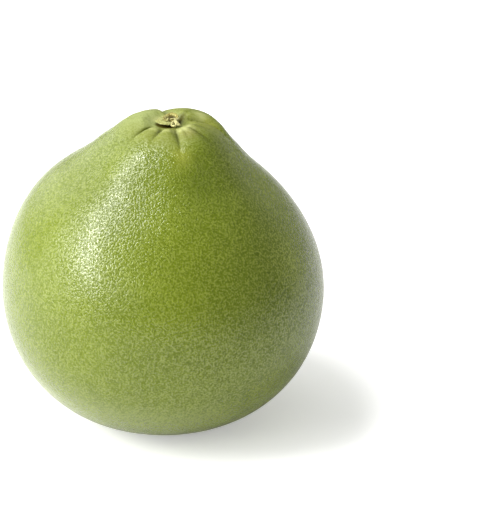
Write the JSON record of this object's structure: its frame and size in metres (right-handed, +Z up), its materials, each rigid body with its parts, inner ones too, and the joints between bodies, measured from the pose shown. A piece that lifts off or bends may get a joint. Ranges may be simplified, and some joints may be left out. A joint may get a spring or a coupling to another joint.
{
  "type": "pomelo",
  "caption": "Whole green pomelo, broad and slightly pear-shaped, with a creased neck, a dry calyx and a stalk stub; it stands on a small flat spot.",
  "frame": {"origin": "centre of the small flat spot at the blossom end, on which the fruit stands", "axes": "+Z up, from the blossom end to the stalk end; +X to the side that the neck leans to; -Y to the front"},
  "size_m": [0.162, 0.162, 0.1612],
  "materials": {
    "rind": "waxy, finely pebbled green rind",
    "dried_calyx": "dry, wrinkled, matte",
    "dry_wood": "dry broken stalk, matte"
  },
  "bodies": {
    "root": {"fruit": "rind", "calyx": "dried_calyx", "stem_stub": "dry_wood"}
  },
  "joints": []
}
